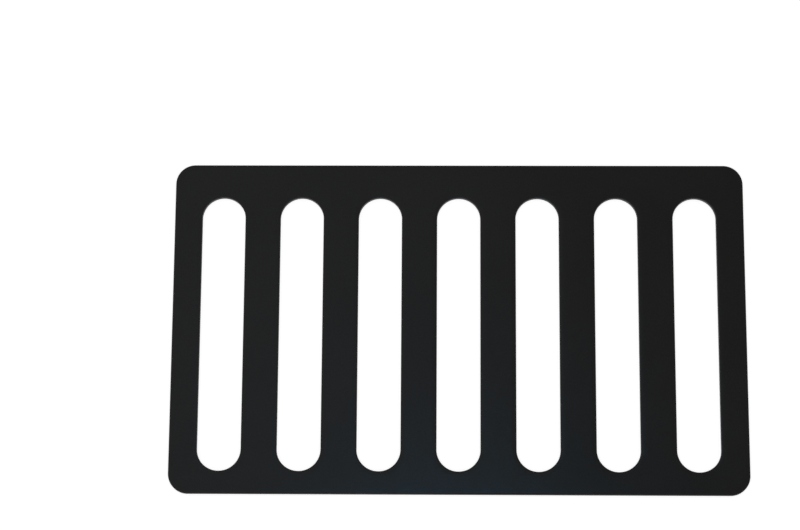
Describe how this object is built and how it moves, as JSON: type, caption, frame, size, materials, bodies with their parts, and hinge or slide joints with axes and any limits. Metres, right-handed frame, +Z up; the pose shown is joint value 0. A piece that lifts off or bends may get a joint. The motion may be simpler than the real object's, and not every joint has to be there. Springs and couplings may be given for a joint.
{
  "type": "queen excluder",
  "caption": "Small flat one-piece slotted plate in black, with rounded corners and a row of round-ended bee slots, for the passage of a small hive.",
  "frame": {"origin": "middle of the underside's bounding rectangle, on the surface that the plate rests on", "axes": "+X along the row of slots, +Y along the slots towards the wide rail, +Z up out of the top face"},
  "size_m": [0.0556, 0.0324, 0.0005],
  "materials": {
    "black_plastic": "satin, fine sheet grain"
  },
  "bodies": {
    "root": {"slotted_plate": "black_plastic"}
  },
  "joints": []
}
